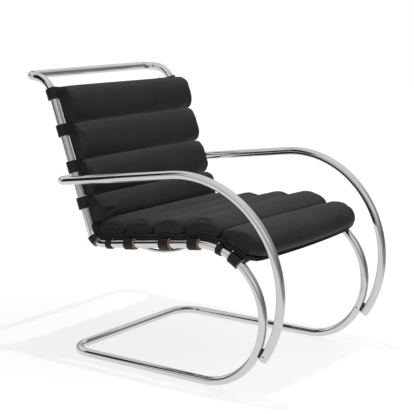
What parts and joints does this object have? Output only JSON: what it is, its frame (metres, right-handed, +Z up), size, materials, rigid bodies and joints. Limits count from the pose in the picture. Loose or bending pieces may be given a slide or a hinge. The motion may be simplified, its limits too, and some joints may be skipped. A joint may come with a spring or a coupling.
{
  "type": "cantilever lounge chair",
  "caption": "Cantilever lounge chair: bent chromed steel tube, separate looped arm tubes, black leather straps and a channelled leather cushion.",
  "frame": {"origin": "on the floor, on the centre plane, midway between the front of the arms and the rear of the top bar", "axes": "+Z up, +X across the chair, the sitter faces -Y"},
  "size_m": [0.6786, 0.9361, 0.8517],
  "materials": {
    "chromed_steel": "mirror-polished chrome plate on bent round steel tube",
    "steel_fastener": "plain machined steel, satin",
    "rivet_brass": "dull brass, slightly domed heads",
    "black_plastic": "black moulded saddle, satin",
    "strap_leather": "thick black leather, smooth grain outside, natural tan cut edges and tan inside face",
    "tie_leather": "thin black leather, edges dyed black",
    "backing_leather": "flat stitched black leather layer with a border seam",
    "cushion_leather": "soft matt black leather, fine grain, channels stitched across the seat and back"
  },
  "bodies": {
    "root": {"arm_front_plugs": "chromed_steel", "arm_front_screws": "steel_fastener", "arm_front_spacers": "black_plastic", "arm_front_studs": "steel_fastener", "arm_rear_bolts": "steel_fastener", "arm_rear_plugs": "chromed_steel", "arm_rear_spacers": "chromed_steel", "arm_tube_left": "chromed_steel", "arm_tube_right": "chromed_steel", "back_backing": "backing_leather", "back_roll_1": "cushion_leather", "back_roll_2": "cushion_leather", "back_roll_3": "cushion_leather", "back_roll_4": "cushion_leather", "base_frame_tube": "chromed_steel", "leg_joint_screws": "steel_fastener", "leg_joint_sleeves": "steel_fastener", "seat_backing": "backing_leather", "seat_roll_1": "cushion_leather", "seat_roll_2": "cushion_leather", "seat_roll_3": "cushion_leather", "seat_roll_4": "cushion_leather", "seat_roll_5": "cushion_leather", "seat_spreader_bar": "chromed_steel", "strap_back_lower": "strap_leather", "strap_back_middle": "strap_leather", "strap_back_top": "strap_leather", "strap_back_upper": "strap_leather", "strap_corner": "strap_leather", "strap_front_edge": "strap_leather", "strap_rivets": "rivet_brass", "strap_seat_front": "strap_leather", "strap_seat_middle": "strap_leather", "strap_seat_rear": "strap_leather", "tie_front_left": "tie_leather", "tie_front_right": "tie_leather", "tie_rear_left": "tie_leather", "tie_rear_right": "tie_leather", "tie_rivets": "rivet_brass", "upper_frame_tube": "chromed_steel"}
  },
  "joints": []
}
